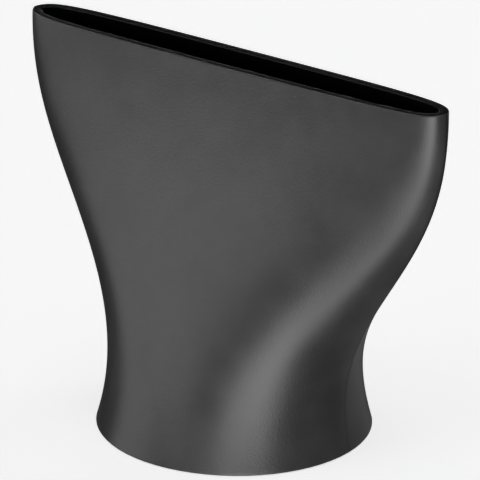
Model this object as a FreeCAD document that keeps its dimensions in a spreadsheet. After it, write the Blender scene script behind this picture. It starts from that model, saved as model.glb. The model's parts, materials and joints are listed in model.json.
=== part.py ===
import FreeCAD, Part
import os

import Sketcher

# A concentrator nozzle for a hair dryer, moulded in one piece.
# It stands on its round foot: Z is the air's axis, X runs along the outlet slot, and Y across it.
# The skin changes from a round collar to a long thin slot. Front and back are mirror halves of the
# skin, and they meet in a crease along each narrow end, where the mould parts.
# Lengths are in millimetres and angles in degrees.

NODE = "nozzle_shell"
STATIONS = 8  # sections that the skin is lofted through, from foot to lip
FIRST_DUCT_STATION = 2  # the lowest of them that the duct inside follows
CIRCLE_SHARE = 0.5523  # handle length over radius that makes a cubic quarter turn round

SIZES = {
    "height": 70.2,  # foot to lip
    "lip_length": 89.2,  # outlet's outside, along X
    "lip_depth": 9.95,  # outlet's outside, along Y
    "foot_flank_angle": 14.9,  # narrow ends' lean inwards, as they leave the foot
    "foot_face_angle": 10.5,  # broad faces' lean inwards, as they leave the foot
    "lip_flank_angle": 3.7,  # narrow ends' lean inwards, as they reach the lip
    "lip_face_angle": 9.6,  # broad faces' lean inwards, as they reach the lip
    "foot_reach": 27.2,  # height over which the foot's angles carry
    "lip_reach": 32.9,  # depth below the lip over which the lip's angles carry
    "waist_face_share": 0.64,  # flat part of a broad face, as a share of its half length
    "shoulder_face_share": 0.85,
    "lip_face_share": 0.91,
    "body_side_share": 0.23,  # upright part of a narrow end, as a share of the half depth
    "lip_side_share": 0.93,
    "shoulder_crease_share": 0.126,  # how far a narrow end draws to a point, of the half length
    "lip_crease_share": 0.033,
    "wall": 1.6,  # thickness of the broad faces
    "end_wall": 1.8,  # thickness of the narrow ends, level
    "socket_diameter": 43,  # fits over the dryer's barrel
    "collar_wall": 3.5,  # thickness around the socket, at the foot
    "socket_depth": 8,
    "socket_seat": 0.8,  # width of the step that stops the barrel
    "socket_lead": 0.8,  # chamfer that guides the barrel in
    "foot_ease": 0.15,  # chamfer of the foot's outer edge
    "lip_ease": 0.15,  # chamfer of the lip's two edges
}

# The skin's height curves are cubic: each runs from the foot to just below the lip's chamfer, and
# leaves either end at that end's angle. So four control sections set them, two of them where the
# ends' angles reach.
CONTROLS = ("foot", "waist", "shoulder", "lip")

FORMULAS = {
    "base_diameter": "socket_diameter + 2 * collar_wall",
    "foot_rise": "0",
    "waist_rise": "foot_reach",
    "shoulder_rise": "height - lip_ease - lip_reach",
    "lip_rise": "height - lip_ease",
    "foot_half_length": "base_diameter / 2",
    "waist_half_length": "base_diameter / 2 - foot_reach * tan(foot_flank_angle)",
    "shoulder_half_length": "lip_length / 2 + lip_reach * tan(lip_flank_angle)",
    "lip_half_length": "lip_length / 2",
    "foot_half_depth": "base_diameter / 2",
    "waist_half_depth": "base_diameter / 2 - foot_reach * tan(foot_face_angle)",
    "shoulder_half_depth": "lip_depth / 2 + lip_reach * tan(lip_face_angle)",
    "lip_half_depth": "lip_depth / 2",
    "foot_side_x": "foot_half_length",
    "waist_side_x": "waist_half_length",
    "shoulder_side_x": "shoulder_half_length * (1 - shoulder_crease_share)",
    "lip_side_x": "lip_half_length * (1 - lip_crease_share)",
    "foot_side_y": f"foot_half_depth * {CIRCLE_SHARE}",
    "waist_side_y": "waist_half_depth * body_side_share",
    "shoulder_side_y": "shoulder_half_depth * body_side_share",
    "lip_side_y": "lip_half_depth * lip_side_share",
    "foot_face_x": f"foot_half_length * {CIRCLE_SHARE}",
    "waist_face_x": "waist_half_length * waist_face_share",
    "shoulder_face_x": "shoulder_half_length * shoulder_face_share",
    "lip_face_x": "lip_half_length * lip_face_share",
}

# The five sizes of a section: its half length and half depth, the control point beside its end, and
# the control point along its face.
SECTION_SIZES = ("half_length", "half_depth", "side_x", "side_y", "face_x")

# How a sketch counts its axes, and the places on a line or a circle.
X_AXIS, Y_AXIS = -1, -2
START, END, MID = 1, 2, 3
ORIGIN_POINT = (X_AXIS, START)


def fill_sheet(doc):
    """Puts the driving sizes and the control sections worked out from them in the sheet."""
    sheet = doc.addObject("Spreadsheet::Sheet", "sizes")
    rows = [(name, str(value)) for name, value in SIZES.items()]
    rows += [(name, f"={formula}") for name, formula in FORMULAS.items()]
    for row, (name, content) in enumerate(rows, start=1):
        sheet.set(f"A{row}", name)
        sheet.set(f"B{row}", content)
        sheet.setAlias(f"B{row}", name)
        doc.recompute()


def blended(size, share):
    """A control section's size, blended along the cubic at a share of the way from foot to lip."""
    rest = 1 - share
    weights = (rest**3, 3 * rest**2 * share, 3 * rest * share**2, share**3)
    terms = [f"{weight:.6f} * sizes.{control}_{size}" for weight, control in zip(weights, CONTROLS)]
    return " + ".join(terms)


def origin_item(body, role):
    """One of the body's own origin planes or axes."""
    return next(item for item in body.Origin.OriginFeatures if item.Role == role)


def plane_sketch(body, name, role):
    """An empty sketch on one of the body's origin planes."""
    sketch = body.newObject("Sketcher::SketchObject", name)
    sketch.AttachmentSupport = (origin_item(body, role), "")
    sketch.MapMode = "FlatFace"
    return sketch


def add_half(sketch, points):
    """One smooth curve from end to end of a section, and the sketch's numbers for its six poles."""
    curve = Part.BSplineCurve()
    poles = [FreeCAD.Vector(x, y, 0) for x, y in points]
    curve.buildFromPolesMultsKnots(poles, [4, 2, 4], [0, 1, 2], False, 3)
    index = sketch.addGeometry(curve, False)
    first_pole = sketch.GeometryCount
    sketch.exposeInternalGeometry(index)
    return range(first_pole, first_pole + len(points))


def section(body, name, rise, sizes):
    """A closed section: a front and a back curve that mirror each other and meet on the X axis."""
    sketch = plane_sketch(body, name, "XY_Plane")
    sketch.setExpression(".AttachmentOffset.Base.z", rise)
    start = {size: float(sketch.evalExpression(sizes[size])) for size in SECTION_SIZES}
    quarter = [
        (start["half_length"], 0),
        (start["side_x"], -start["side_y"]),
        (start["face_x"], -start["half_depth"]),
    ]
    front = quarter + [(-x, y) for x, y in reversed(quarter)]
    poles = add_half(sketch, front)
    mirrored = add_half(sketch, [(x, -y) for x, y in front])

    def hold(kind, *places):
        return sketch.addConstraint(Sketcher.Constraint(kind, *places))

    def measure(kind, low, high, size):
        number = hold(kind, *low, *high, start[size])
        sketch.renameConstraint(number, size)
        sketch.setExpression(f"Constraints.{size}", sizes[size])

    end, side, face = ((poles[place], MID) for place in range(len(quarter)))
    hold("PointOnObject", *end, X_AXIS)
    measure("DistanceX", ORIGIN_POINT, end, "half_length")
    measure("DistanceX", ORIGIN_POINT, side, "side_x")
    measure("DistanceY", side, ORIGIN_POINT, "side_y")
    measure("DistanceX", ORIGIN_POINT, face, "face_x")
    measure("DistanceY", face, ORIGIN_POINT, "half_depth")
    for place in range(len(quarter)):
        hold("Symmetric", poles[place], MID, poles[-1 - place], MID, Y_AXIS)
    for place in (0, len(front) - 1):
        hold("Coincident", poles[place], MID, mirrored[place], MID)
    for place in range(1, len(front) - 1):
        hold("Symmetric", poles[place], MID, mirrored[place], MID, X_AXIS)
    return sketch


def skin_sections(body):
    """The outside's sections, from the round foot to the slot-shaped lip."""
    sections = []
    for number in range(STATIONS):
        share = number / (STATIONS - 1)
        sizes = {size: blended(size, share) for size in SECTION_SIZES}
        sections.append(section(body, f"skin_{number}", blended("rise", share), sizes))
    return sections


def inset(outer, end, face):
    """Sizes of a section inside another, by one distance at its ends and another at its faces."""
    around = f"{outer.Name}.Constraints"
    half_length = f"({around}.half_length - {end} * 1 mm)"
    half_depth = f"({around}.half_depth - {face} * 1 mm)"
    return {
        "half_length": half_length,
        "half_depth": half_depth,
        "side_x": f"{around}.side_x - {end} * 1 mm",
        "side_y": f"{around}.side_y * {half_depth} / {around}.half_depth",
        "face_x": f"{around}.face_x * {half_length} / {around}.half_length",
    }


def duct_sections(body, skin):
    """The inside's sections: a round throat above the socket, then the skin's own less the wall."""
    throat_radius = "(sizes.socket_diameter / 2 - sizes.socket_seat)"
    throat = dict.fromkeys(("half_length", "half_depth", "side_x"), throat_radius)
    throat.update(dict.fromkeys(("side_y", "face_x"), f"{throat_radius} * {CIRCLE_SHARE}"))
    sections = [section(body, "duct_throat", "sizes.socket_depth", throat)]
    for outer in skin[FIRST_DUCT_STATION:]:
        name = outer.Name.replace("skin", "duct")
        rise = f"{outer.Name}.AttachmentOffset.Base.z"
        sections.append(section(body, name, rise, inset(outer, "sizes.end_wall", "sizes.wall")))
    return sections


def loft(body, kind, name, sections, ruled=False):
    """A loft through all the sections, smooth or straight, added to the body or cut out of it."""
    feature = body.newObject(f"PartDesign::{kind}", name)
    feature.Profile = sections[0]
    feature.Sections = sections[1:]
    feature.Ruled = ruled
    body.Document.recompute()
    return feature


def shell(body):
    """The thin wall from foot to lip, with both of the lip's edges chamfered."""
    skin = skin_sections(body)
    duct = duct_sections(body, skin)
    ease = "sizes.lip_ease"
    rim = section(body, "lip_outside", "sizes.height", inset(skin[-1], ease, ease))
    mouth = section(body, "lip_inside", "sizes.height", inset(duct[-1], f"-{ease}", f"-{ease}"))
    loft(body, "AdditiveLoft", "skin", skin)
    loft(body, "AdditiveLoft", "lip", [skin[-1], rim], ruled=True)
    loft(body, "SubtractiveLoft", "duct", duct)
    loft(body, "SubtractiveLoft", "mouth", [duct[-1], mouth], ruled=True)


def socket(body):
    """The round socket in the foot, which is pushed over the dryer's barrel, with its lead-in."""
    sketch = plane_sketch(body, "socket_outline", "XY_Plane")
    radius = SIZES["socket_diameter"] / 2
    outline = Part.Circle(FreeCAD.Vector(), FreeCAD.Vector(0, 0, 1), radius)
    circle = sketch.addGeometry(outline, False)
    sketch.addConstraint(Sketcher.Constraint("Coincident", circle, MID, *ORIGIN_POINT))
    across = sketch.addConstraint(Sketcher.Constraint("Diameter", circle, 2 * radius))
    sketch.setExpression(f"Constraints[{across}]", "sizes.socket_diameter")
    pocket = body.newObject("PartDesign::Pocket", "socket")
    pocket.Profile = sketch
    pocket.Reversed = True
    pocket.setExpression("Length", "sizes.socket_depth")
    body.Document.recompute()

    lead = body.newObject("PartDesign::Chamfer", "socket_lead_in")
    lead.Base = (pocket, foot_circles(pocket.Shape))
    lead.setExpression("Size", "sizes.socket_lead")
    body.Document.recompute()


def foot_circles(shape):
    """Names of the circular edges in the foot's plane."""
    names = []
    for number, edge in enumerate(shape.Edges, start=1):
        round_edge = isinstance(edge.Curve, Part.Circle)
        if round_edge and abs(edge.Curve.Center.z) < Part.Precision.confusion():
            names.append(f"Edge{number}")
    return names


def foot_chamfer(body):
    """The eased outer edge of the foot, cut by a triangle turned about the nozzle's axis."""
    sketch = plane_sketch(body, "foot_ease_outline", "XZ_Plane")
    reach = "sizes.base_diameter / 2 - sizes.foot_ease"
    width = "2 * sizes.foot_ease"
    inner = float(sketch.evalExpression(reach))
    side = float(sketch.evalExpression(width))
    corners = [(inner, 0), (inner + side, 0), (inner + side, side)]
    points = [FreeCAD.Vector(*corner) for corner in corners]
    for place, point in enumerate(points):
        sketch.addGeometry(Part.LineSegment(point, points[(place + 1) % len(points)]), False)
    level, upright, slope = range(len(points))
    rules = [
        ("Coincident", level, END, upright, START),
        ("Coincident", upright, END, slope, START),
        ("Coincident", slope, END, level, START),
        ("PointOnObject", level, START, X_AXIS),
        ("Horizontal", level),
        ("Vertical", upright),
        ("Equal", level, upright),
        ("DistanceX", *ORIGIN_POINT, level, START, inner),
        ("DistanceX", level, START, level, END, side),
    ]
    numbers = sketch.addConstraint([Sketcher.Constraint(*rule) for rule in rules])
    sketch.setExpression(f"Constraints[{numbers[-2]}]", reach)
    sketch.setExpression(f"Constraints[{numbers[-1]}]", width)
    groove = body.newObject("PartDesign::Groove", "foot_edge")
    groove.Profile = sketch
    groove.ReferenceAxis = (origin_item(body, "Z_Axis"), "")
    body.Document.recompute()


def build_nozzle(doc):
    body = doc.addObject("PartDesign::Body", "nozzle")
    body.Label = NODE
    shell(body)
    socket(body)
    foot_chamfer(body)
    return body


def check(doc, body):
    """Stops the build if any step failed or the piece isn't one sound solid."""
    for item in doc.Objects:
        faults = {"Invalid", "Error"} & set(item.State)
        if faults:
            raise RuntimeError(f"{item.Name} is {', '.join(sorted(faults))}")
    shape = body.Shape
    if shape.isNull() or not shape.isValid() or len(shape.Solids) != 1:
        raise RuntimeError(f"{body.Label} isn't one valid solid")


def main():
    doc = FreeCAD.newDocument("concentrator_nozzle")
    fill_sheet(doc)
    body = build_nozzle(doc)
    doc.recompute()
    check(doc, body)
    os.makedirs("parts", exist_ok=True)
    body.Shape.exportStep(f"parts/{body.Label}.step")
    box = body.Shape.BoundBox
    sides = " x ".join(f"{side:.2f}" for side in (box.XLength, box.YLength, box.ZLength))
    print(f"{body.Label}: {sides} mm, {body.Shape.Volume:.0f} mm3")


main()
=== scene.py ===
import json
import math

import bpy
import numpy as np
from mathutils import Matrix, Vector


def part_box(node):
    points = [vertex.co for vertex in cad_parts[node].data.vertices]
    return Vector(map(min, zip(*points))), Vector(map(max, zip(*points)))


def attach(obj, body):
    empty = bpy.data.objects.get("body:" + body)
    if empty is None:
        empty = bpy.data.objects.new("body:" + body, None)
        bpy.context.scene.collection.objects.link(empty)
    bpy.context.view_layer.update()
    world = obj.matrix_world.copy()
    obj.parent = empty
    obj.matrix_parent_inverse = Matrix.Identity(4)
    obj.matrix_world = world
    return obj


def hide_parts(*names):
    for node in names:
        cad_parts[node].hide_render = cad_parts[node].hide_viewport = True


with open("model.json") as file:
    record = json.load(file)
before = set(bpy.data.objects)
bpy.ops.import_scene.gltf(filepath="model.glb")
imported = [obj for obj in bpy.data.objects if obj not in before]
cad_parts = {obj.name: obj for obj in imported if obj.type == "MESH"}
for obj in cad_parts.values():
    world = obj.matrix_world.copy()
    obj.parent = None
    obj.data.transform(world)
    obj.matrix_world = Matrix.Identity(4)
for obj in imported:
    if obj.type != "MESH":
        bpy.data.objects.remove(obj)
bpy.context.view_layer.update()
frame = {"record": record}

# A concentrator nozzle for a hair dryer, in matt black moulded plastic.
# Z is the air's axis, X runs along the outlet slot, and Y across it. Lengths are in metres.

MM = 0.001
NODE = "nozzle_shell"
CIRCLE_SHARE = 0.5523  # handle length over radius that makes a cubic quarter turn round

# The nozzle's own sizes, as in the solid that this mesh stands for.
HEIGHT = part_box(NODE)[1].z
SOCKET = next(mount for mount in frame["record"]["mounts"] if mount["kind"] == "bore")
SOCKET_RADIUS = SOCKET["dims"]["r_mm"] * MM
COLLAR_WALL = 3.5 * MM
BASE_RADIUS = SOCKET_RADIUS + COLLAR_WALL
LIP_HALF_LENGTH = 44.6 * MM
LIP_HALF_DEPTH = 4.975 * MM
FOOT_FLANK_LEAN = math.tan(math.radians(14.9))
FOOT_FACE_LEAN = math.tan(math.radians(10.5))
LIP_FLANK_LEAN = math.tan(math.radians(3.7))
LIP_FACE_LEAN = math.tan(math.radians(9.6))
FOOT_REACH = 27.2 * MM  # height over which the foot's leans carry
LIP_REACH = 32.9 * MM  # depth below the lip over which the lip's leans carry
WALL = 1.6 * MM
END_WALL = 1.8 * MM
SOCKET_DEPTH = 8 * MM
SOCKET_SEAT = 0.8 * MM
SOCKET_LEAD = 0.8 * MM
FOOT_EASE = 0.15 * MM
LIP_EASE = 0.15 * MM
DUCT_BLEND_TOP = 20 * MM  # where the duct's round throat has wholly become the skin's own shape

# The shapes of the four sections that steer the skin, from foot to lip: the flat part of a broad
# face, the upright part of a narrow end, and how far that end draws to a point.
FACE_SHARES = (CIRCLE_SHARE, 0.64, 0.85, 0.91)
SIDE_SHARES = (CIRCLE_SHARE, 0.23, 0.23, 0.93)
CREASE_SHARES = (0, 0, 0.126, 0.033)

# How finely the mesh is cut.
CURVE_STEPS = 2000  # along the height curves, when a height is looked up on them
QUARTER_STEPS = 64  # around a quarter of a section
END_SPACING = 0.35  # spacing of the points at a section's narrow ends, over the even spacing
SKIN_ROWS = 150
DUCT_ROWS = 60
EASE_ROWS = 6
RUN_ROWS = 8


def control_sections():
    """The four sections that steer the skin, foot to lip, each as its six sizes."""
    lip_rise = HEIGHT - LIP_EASE
    rise = np.array((0, FOOT_REACH, lip_rise - LIP_REACH, lip_rise))
    half_length = np.array(
        (
            BASE_RADIUS,
            BASE_RADIUS - FOOT_REACH * FOOT_FLANK_LEAN,
            LIP_HALF_LENGTH + LIP_REACH * LIP_FLANK_LEAN,
            LIP_HALF_LENGTH,
        )
    )
    half_depth = np.array(
        (
            BASE_RADIUS,
            BASE_RADIUS - FOOT_REACH * FOOT_FACE_LEAN,
            LIP_HALF_DEPTH + LIP_REACH * LIP_FACE_LEAN,
            LIP_HALF_DEPTH,
        )
    )
    side_x = half_length * (1 - np.array(CREASE_SHARES))
    side_y = half_depth * SIDE_SHARES
    face_x = half_length * FACE_SHARES
    return np.stack((half_length, half_depth, side_x, side_y, face_x, rise), axis=1)


CONTROLS = control_sections()


def bernstein(shares):
    """Weights of a cubic's four controls at each share of its length."""
    shares = np.asarray(shares, float)
    rest = 1 - shares
    return np.stack((rest**3, 3 * rest**2 * shares, 3 * rest * shares**2, shares**3), axis=-1)


def skin_at(rises):
    """Sizes of the outside's sections at these heights."""
    shares = np.linspace(0, 1, CURVE_STEPS + 1)
    heights = bernstein(shares) @ CONTROLS[:, -1]
    return bernstein(np.interp(rises, heights, shares)) @ CONTROLS


def inset(sections, end, face):
    """Sections inside others, by one distance at their ends and another at their faces."""
    half_length, half_depth, side_x, side_y, face_x, rise = sections.T
    shorter = half_length - end
    thinner = half_depth - face
    side_y = side_y * (thinner / half_depth)
    face_x = face_x * (shorter / half_length)
    return np.stack((shorter, thinner, side_x - end, side_y, face_x, rise), axis=1)


def round_section(radius, rise):
    """A circle, as a section."""
    handle = radius * CIRCLE_SHARE
    return np.array((radius, radius, radius, handle, handle, rise))


def run(start, end):
    """Sections on the straight between two, closer together near both ends."""
    shares = (1 - np.cos(np.linspace(0, math.pi, RUN_ROWS + 1))) / 2
    return start + shares[:, None] * (end - start)


def raised(sections, rises):
    """The same sections at other heights."""
    lifted = np.array(np.broadcast_to(sections, (len(rises), sections.shape[-1])))
    lifted[:, -1] = rises
    return lifted


def skin_rows():
    """The outside, from the foot's rounded edge to the lip's."""
    turn = np.linspace(0, math.pi / 2, EASE_ROWS + 1)
    rises = FOOT_EASE * (1 - np.cos(turn))
    back = FOOT_EASE * (1 - np.sin(turn))
    foot = inset(skin_at(rises), back, back)
    wall = skin_at(np.linspace(FOOT_EASE, HEIGHT - LIP_EASE, SKIN_ROWS + 1))
    back = LIP_EASE * (1 - np.cos(turn))
    rises = HEIGHT - LIP_EASE * (1 - np.sin(turn))
    lip = inset(raised(wall[-1:], rises), back, back)
    return np.concatenate((foot[:-1], wall, lip[1:]))


def duct_rows():
    """The inside, from the mouth's rounded edge down to the round throat above the socket."""
    rises = np.linspace(HEIGHT - LIP_EASE, SOCKET_DEPTH, DUCT_ROWS + 1)
    inside = inset(skin_at(rises), END_WALL, WALL)
    throat = raised(round_section(SOCKET_RADIUS - SOCKET_SEAT, 0)[None], rises)
    share = np.clip((DUCT_BLEND_TOP - rises) / (DUCT_BLEND_TOP - SOCKET_DEPTH), 0, 1)
    rounding = (share**2 * (3 - 2 * share))[:, None]
    wall = inside + rounding * (throat - inside)
    turn = np.linspace(math.pi / 2, 0, EASE_ROWS + 1)
    out = LIP_EASE * (1 - np.cos(turn))
    mouth = inset(raised(wall[:1], HEIGHT - LIP_EASE * (1 - np.sin(turn))), -out, -out)
    return np.concatenate((mouth[:-1], wall))


def socket_rows():
    """The socket, from the step that stops the barrel down to the outside of the foot's ring."""
    corners = (
        round_section(SOCKET_RADIUS - SOCKET_SEAT, SOCKET_DEPTH),
        round_section(SOCKET_RADIUS, SOCKET_DEPTH),
        round_section(SOCKET_RADIUS, SOCKET_LEAD),
        round_section(SOCKET_RADIUS + SOCKET_LEAD, 0),
        round_section(BASE_RADIUS - FOOT_EASE, 0),
    )
    runs = [run(start, end)[1:] for start, end in zip(corners, corners[1:])]
    return np.concatenate(runs)


def ring(section):
    """A section's points, once around, closer together near its two narrow ends."""
    half_length, half_depth, side_x, side_y, face_x, rise = section
    steps = np.linspace(0, 1, QUARTER_STEPS, endpoint=False)
    shares = END_SPACING * steps + (1 - END_SPACING) * steps**2
    handles = np.array(((half_length, 0), (side_x, side_y), (face_x, half_depth), (0, half_depth)))
    quarter = bernstein(np.append(shares, 1)) @ handles
    half = np.concatenate((quarter[:-1], quarter[::-1] * (-1, 1)))[:-1]
    outline = np.concatenate((half, -half))
    return np.column_stack((outline, np.full(len(outline), rise)))


# The finish: a fine even grain, faint clouding, a few specks, a parting line on the creases with
# painted shade along it, and a little wear on the outer edges. The lip and the duct are smooth,
# and painted shade makes them very dark.
PLASTIC_IOR = 1.46
BASE_DARK, BASE_LIGHT = 0.027, 0.038
ROUGH_LOW, ROUGH_HIGH = 0.33, 0.37
SPECK_GREY = 0.1
WORN_GREY = 0.05
# Painted shade along the parting line's crease, darker than the plastic itself.
SEAM_SHADE_GREY = 0.005
# Painted shade on the lip and down the duct, darker than the plastic itself.
INSIDE_SHADE_GREY = 0.004
COOL_TINT = 1.02  # blue over red and green
NOISE_ENDS = 0.3, 0.7  # nearly all of a noise's values lie between these
GRAIN_SIZE, GRAIN_DETAIL = 0.3 * MM, 2
GRAIN_DEPTH = 0.03 * MM
GRAIN_ROUGHNESS = 0.02
MOTTLE_SIZE, MOTTLE_DETAIL = 9 * MM, 4
MOTTLE_ENDS = 0.35, 0.65  # the noise's values at the darkest and the lightest clouds
RUB_SIZE, RUB_DETAIL = 2.5 * MM, 3
RUB_ENDS = 0.4, 0.65  # the noise's values at the least and the most wear
LEAST_WEAR, MOST_WEAR = 0.1, 0.5
WEAR_SMOOTHING = 0.1
INSIDE_SMOOTHING = 0.12
SPECK_SPACING = 6 * MM
SPECK_CORE, SPECK_RIM = 0.02, 0.035  # radii, over the spacing
SPECK_STRENGTH = 0.5
SPECK_ENDS = 0.6, 0.61  # a place's random number, from no speck there to a whole one
SEAM_WIDTH = 0.38 * MM
SEAM_DEPTH = 0.05 * MM
SEAM_FADE = 22 * MM  # height below which the seam and its painted shade fade towards the foot
SEAM_LEFT = 0.3  # what is left of it at the foot
EDGE_WIDTH = 0.35 * MM


def shell_mesh():
    """One closed surface: up the outside, over the lip, down the duct and round the socket."""
    skin = skin_rows()
    duct = duct_rows()
    lip = run(skin[-1], duct[0])[1:-1]
    rows = np.concatenate((skin, lip, duct, socket_rows()[:-1]))
    points = np.array([ring(row) for row in rows])
    count, around = points.shape[:2]
    row, place = np.meshgrid(np.arange(count), np.arange(around), indexing="ij")
    above, beside = (row + 1) % count, (place + 1) % around
    corners = ((row, place), (row, beside), (above, beside), (above, place))
    faces = np.stack([i * around + j for i, j in corners], axis=-1).reshape(-1, 4)
    mesh = bpy.data.meshes.new("shell")
    mesh.from_pydata(points.reshape(-1, 3), [], faces)
    mesh.shade_smooth()

    rises = points[..., 2]
    # The lip and the upper duct get painted shade, from none at the socket to whole at half height.
    above_socket = np.clip((rises - SOCKET_DEPTH) / (HEIGHT / 2 - SOCKET_DEPTH), 0, 1)
    inside = np.where(row < len(skin), 0, above_socket)
    # The parting line on both creases: a groove, and painted shade in the crease.
    creases = points[:, [0, around // 2], None]
    from_seam = np.linalg.norm(points[:, None] - creases, axis=-1).min(axis=1)
    seam_and_shade = np.exp(-((from_seam / SEAM_WIDTH) ** 2)) * np.clip(rises / SEAM_FADE, SEAM_LEFT, 1)
    from_edge = np.minimum(rises, HEIGHT - rises)
    edge = np.exp(-from_edge / EDGE_WIDTH)
    paint(mesh, "inside", inside)
    paint(mesh, "seam_and_shade", seam_and_shade * (1 - inside))
    paint(mesh, "edge", edge * (1 - inside))
    return mesh


def paint(mesh, name, values):
    """Keeps a number at each of the mesh's points, for its material."""
    attribute = mesh.attributes.new(name, "FLOAT", "POINT")
    attribute.data.foreach_set("value", np.asarray(values, np.float32).ravel())


def node(tree, kind, **inputs):
    """A shader node whose inputs are numbers, colours or other nodes' outputs."""
    made = tree.nodes.new(kind)
    for name, value in inputs.items():
        put(tree, made.inputs[name.replace("_", " ")], value)
    return made


def put(tree, socket, value):
    """Sets an input to a number or a colour, or links it to another node's output."""
    if isinstance(value, bpy.types.NodeSocket):
        tree.links.new(value, socket)
    else:
        socket.default_value = value


def noise(tree, place, size, detail):
    """Soft random patches of about this size, from 0 to 1 and mostly near a half."""
    made = node(tree, "ShaderNodeTexNoise", Vector=place, Scale=1 / size, Detail=detail)
    return made.outputs["Fac"]


def painted(tree, name):
    """A number that the mesh keeps at its points."""
    made = node(tree, "ShaderNodeAttribute")
    made.attribute_name = name
    return made.outputs["Fac"]


def spread(tree, value, start, end, low, high):
    """A value's range carried over to another, and held at its ends."""
    ends = {"From_Min": start, "From_Max": end, "To_Min": low, "To_Max": high}
    return node(tree, "ShaderNodeMapRange", Value=value, **ends).outputs["Result"]


def calculate(tree, operation, *values):
    """A sum, difference or product of two values."""
    made = node(tree, "ShaderNodeMath")
    made.operation = operation
    for socket, value in zip(made.inputs, values):
        put(tree, socket, value)
    return made.outputs["Value"]


def blend(tree, share, first, second):
    """One colour turned into another by a share."""
    made = node(tree, "ShaderNodeMix")
    made.data_type = "RGBA"
    sockets = [socket for socket in made.inputs if socket.type == "RGBA"]
    put(tree, made.inputs["Factor"], share)
    put(tree, sockets[0], first)
    put(tree, sockets[1], second)
    return next(socket for socket in made.outputs if socket.type == "RGBA")


def choose(tree, share, first, second):
    """One shader turned into another by a share."""
    made = node(tree, "ShaderNodeMixShader")
    for socket, value in zip(made.inputs, (share, first, second)):
        put(tree, socket, value)
    return made.outputs["Shader"]


def grey(level):
    """A plain grey."""
    return (level, level, level, 1)


def black(level):
    """A black plastic's colour, a touch cool."""
    return (level, level, COOL_TINT * level, 1)


def specked(tree, place, colour):
    """The colour with a few pale specks."""
    cells = node(tree, "ShaderNodeTexVoronoi", Vector=place, Scale=1 / SPECK_SPACING)
    speck = spread(tree, cells.outputs["Distance"], SPECK_CORE, SPECK_RIM, SPECK_STRENGTH, 0)
    chance = node(tree, "ShaderNodeSeparateColor", Color=cells.outputs["Color"]).outputs["Red"]
    shown = calculate(tree, "MULTIPLY", speck, spread(tree, chance, *SPECK_ENDS, 0, 1))
    return blend(tree, shown, colour, black(SPECK_GREY))


def plastic():
    """Matt black plastic with the fine grain of a spark-eroded mould."""
    material = bpy.data.materials.new("matt_black_plastic")
    material.use_nodes = True
    tree = material.node_tree
    shader = tree.nodes["Principled BSDF"]
    shader.inputs["IOR"].default_value = PLASTIC_IOR
    place = node(tree, "ShaderNodeTexCoord").outputs["Object"]
    inside = painted(tree, "inside")
    seam_and_shade = painted(tree, "seam_and_shade")
    edge = painted(tree, "edge")
    mottle = noise(tree, place, MOTTLE_SIZE, MOTTLE_DETAIL)
    rubbed = noise(tree, place, RUB_SIZE, RUB_DETAIL)
    grain = noise(tree, place, GRAIN_SIZE, GRAIN_DETAIL)
    wear = spread(tree, rubbed, *RUB_ENDS, LEAST_WEAR, MOST_WEAR)
    worn = calculate(tree, "MULTIPLY", edge, wear)

    clouds = spread(tree, mottle, *MOTTLE_ENDS, 0, 1)
    colour = blend(tree, clouds, black(BASE_DARK), black(BASE_LIGHT))
    colour = specked(tree, place, colour)
    colour = blend(tree, worn, colour, black(WORN_GREY))
    # Painted shade along the creases' parting line.
    colour = blend(tree, seam_and_shade, colour, black(SEAM_SHADE_GREY))
    # Painted shade on the lip and down the duct.
    colour = blend(tree, inside, colour, black(INSIDE_SHADE_GREY))
    put(tree, shader.inputs["Base Color"], colour)

    rough = spread(tree, mottle, *NOISE_ENDS, ROUGH_LOW, ROUGH_HIGH)
    uneven = spread(tree, grain, *NOISE_ENDS, -GRAIN_ROUGHNESS, GRAIN_ROUGHNESS)
    rough = calculate(tree, "ADD", rough, uneven)
    for smooth, amount in ((worn, WEAR_SMOOTHING), (inside, INSIDE_SMOOTHING)):
        rough = calculate(tree, "SUBTRACT", rough, calculate(tree, "MULTIPLY", smooth, amount))
    put(tree, shader.inputs["Roughness"], rough)

    groove = node(tree, "ShaderNodeBump", Height=seam_and_shade, Distance=SEAM_DEPTH)
    groove.invert = True
    texture = calculate(tree, "MULTIPLY", grain, calculate(tree, "SUBTRACT", 1, inside))
    relief = node(tree, "ShaderNodeBump", Height=texture, Distance=GRAIN_DEPTH)
    put(tree, relief.inputs["Normal"], groove.outputs["Normal"])
    put(tree, shader.inputs["Normal"], relief.outputs["Normal"])
    return material


def placed(name, data):
    """A new object in the scene."""
    piece = bpy.data.objects.new(name, data)
    bpy.context.scene.collection.objects.link(piece)
    return piece


def shell():
    """The nozzle, in place of the plain solid."""
    piece = placed("shell", shell_mesh())
    piece.data.materials.append(plastic())
    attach(piece, "root")
    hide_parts(NODE)


# The camera, as the photograph's: where it stands, and where the nozzle's middle lies in its frame.
FRAME_PIXELS = 480
AZIMUTH = math.radians(33.955)
ELEVATION = math.radians(22.703)
ROLL = math.radians(0.707)
DISTANCE = 2.0
PIXELS_PER_METRE = 5566
MIDDLE_PIXEL = (236.35, 240.85)


def camera():
    """The photograph's view."""
    back = Vector((0, -1, 0))
    back.rotate(Matrix.Rotation(-ELEVATION, 3, "X"))
    back.rotate(Matrix.Rotation(AZIMUTH, 3, "Z"))
    level = Vector((math.cos(AZIMUTH), math.sin(AZIMUTH), 0))
    upright = back.cross(level)
    right = level * math.cos(ROLL) + upright * math.sin(ROLL)
    up = upright * math.cos(ROLL) - level * math.sin(ROLL)
    across, down = ((pixel - FRAME_PIXELS / 2) / PIXELS_PER_METRE for pixel in MIDDLE_PIXEL)
    aim = Vector((0, 0, HEIGHT / 2)) - across * right + down * up
    data = bpy.data.cameras.new("camera")
    data.lens = data.sensor_width * PIXELS_PER_METRE * DISTANCE / FRAME_PIXELS
    turn = Matrix((right, up, back)).transposed().to_4x4()
    eye = placed("camera", data)
    eye.matrix_world = Matrix.Translation(aim + back * DISTANCE) @ turn
    bpy.context.scene.camera = eye


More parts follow.
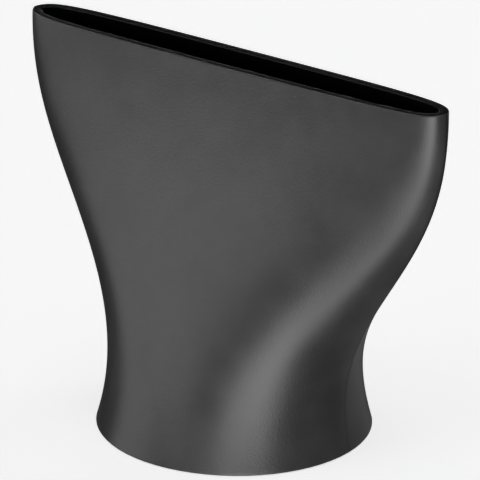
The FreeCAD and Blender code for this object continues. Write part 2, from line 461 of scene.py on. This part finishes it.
# The lamps, each as its bearing from the front, its elevation, its roll, its width and height, and
# how bright it is. All face the nozzle's middle from a metre off. Those in front give the
# photograph's highlights, and those behind light the other sides.
LAMP_DISTANCE = 1.0
LAMPS = {
    "right_softbox": (41.8, -11.4, 0, 0.77, 0.55, 5.0),
    "right_low_strip": (44.0, -39.6, 0, 0.35, 0.82, 3.5),
    "left_softbox": (-59.5, -1.3, 3.8, 0.78, 0.57, 1.65),
    "front_left_panel": (-28.3, 10.6, 0, 0.57, 0.33, 2.75),
    "front_low_fill": (-1.4, -25.5, 0, 0.84, 1.6, 0.57),
    "rear_low_fill": (167.3, -29.7, 14, 0.93, 1.28, 0.235),
    "rear_softbox": (214, -5, 0, 0.6, 0.45, 4.0),
    "rear_low_strip": (216, -46, 0, 0.35, 0.7, 2.5),
    "rear_panel": (246, 3, 0, 0.5, 0.3, 2.0),
    "rear_side_panel": (150, 18, 0, 0.6, 0.35, 2.4),
    "top_fill": (34, 84, 0, 1.2, 1.0, 0.5),
}


def lamp(name, bearing, elevation, roll, width, height, brightness):
    """A soft rectangular light that faces the nozzle's middle."""
    data = bpy.data.lights.new(name, "AREA")
    data.shape = "RECTANGLE"
    data.size, data.size_y = width, height
    data.energy = brightness * math.pi * width * height
    turn = Matrix.Rotation(math.radians(bearing), 4, "Z")
    tilt = Matrix.Rotation(math.radians(90 - elevation), 4, "X")
    spin = Matrix.Rotation(math.radians(roll), 4, "Z")
    middle = Matrix.Translation((0, 0, HEIGHT / 2))
    away = Matrix.Translation((0, 0, LAMP_DISTANCE))
    placed(name, data).matrix_world = middle @ turn @ tilt @ away @ spin


# The floor, and what is round it.
FLOOR_DROP = 0.2 * MM  # how far the floor lies below the foot, so that they don't coincide
FLOOR_RADIUS = 3.4
FLOOR_SIDES = 64
BEND_RADIUS = 1.0  # where the floor turns up into the wall, and the wall into the ceiling
BEND_STEPS = 8
WALL_TOP = 3.0
CEILING_HOLE = 0.01
FLOOR_GREY = 0.8
FLOOR_LIGHT = 0.72
WORLD_GREY = 0.01
WORLD_SEEN = 0.9


def turned(name, profile, material):
    """A stage piece turned about Z, from a profile of radius and height that starts on Z."""
    angles = np.linspace(0, 2 * math.pi, FLOOR_SIDES, endpoint=False)
    points = [(0, 0, profile[0][1])]
    for radius, rise in profile[1:]:
        points += [(radius * math.cos(angle), radius * math.sin(angle), rise) for angle in angles]
    beside = [(place + 1) % FLOOR_SIDES for place in range(FLOOR_SIDES)]
    faces = [(0, 1 + place, 1 + after) for place, after in enumerate(beside)]
    for row in range(len(profile) - 2):
        low, high = 1 + row * FLOOR_SIDES, 1 + (row + 1) * FLOOR_SIDES
        for place, after in enumerate(beside):
            faces.append((low + place, high + place, high + after, low + after))
    mesh = bpy.data.meshes.new(name)
    mesh.from_pydata(points, [], faces)
    mesh.shade_smooth()
    mesh.materials.append(material)
    piece = placed(name, mesh)
    return piece


def cove():
    """A plain pale floor that turns up into a wall and a ceiling all round."""
    turn = np.linspace(0, math.pi / 2, BEND_STEPS + 1)
    across, along = BEND_RADIUS * np.sin(turn), BEND_RADIUS * np.cos(turn)
    profile = [(0, 0)]
    profile += list(zip(FLOOR_RADIUS + across, BEND_RADIUS - along))
    profile += list(zip(FLOOR_RADIUS + along, WALL_TOP + across))
    profile += [(CEILING_HOLE, WALL_TOP + BEND_RADIUS)]
    lowered = [(radius, rise - FLOOR_DROP) for radius, rise in profile]
    floor = turned("cove", lowered, pale(FLOOR_LIGHT))
    # The photograph's plastic shows no floor in its gloss, and some lamps reach below the floor.
    floor.visible_glossy = False
    floor.visible_diffuse = False
    floor.visible_shadow = False

    # Seen through the nozzle from above, the floor lies in its shade.
    under = [(0, -FLOOR_DROP / 2), (BASE_RADIUS - FOOT_EASE, -FLOOR_DROP / 2)]
    shaded = turned("shaded_floor", under, pale(0))
    shaded.visible_shadow = False


def pale(light):
    """Pale paint with a light of its own, which is seen through from behind."""
    material = bpy.data.materials.new("pale_floor")
    material.use_nodes = True
    tree = material.node_tree
    shader = tree.nodes["Principled BSDF"]
    shader.inputs["Base Color"].default_value = grey(FLOOR_GREY)
    shader.inputs["Specular IOR Level"].default_value = 0
    shader.inputs["Emission Color"].default_value = grey(1)
    shader.inputs["Emission Strength"].default_value = light
    behind = node(tree, "ShaderNodeNewGeometry").outputs["Backfacing"]
    clear = node(tree, "ShaderNodeBsdfTransparent").outputs["BSDF"]
    surface = choose(tree, behind, shader.outputs["BSDF"], clear)
    put(tree, tree.nodes["Material Output"].inputs["Surface"], surface)
    return material


def surroundings():
    """A dim world, which is pale where the camera itself looks past the floor."""
    world = bpy.data.worlds.new("world")
    world.use_nodes = True
    tree = world.node_tree
    dim = tree.nodes["Background"]
    dim.inputs["Color"].default_value = grey(WORLD_GREY)
    bright = node(tree, "ShaderNodeBackground", Color=grey(WORLD_SEEN))
    seen = node(tree, "ShaderNodeLightPath").outputs["Is Camera Ray"]
    surface = choose(tree, seen, dim.outputs["Background"], bright.outputs["Background"])
    put(tree, tree.nodes["World Output"].inputs["Surface"], surface)
    return world


shell()
camera()
for name, values in LAMPS.items():
    lamp(name, *values)
cove()
bpy.context.scene.world = surroundings()
bpy.context.scene.view_settings.view_transform = "Standard"
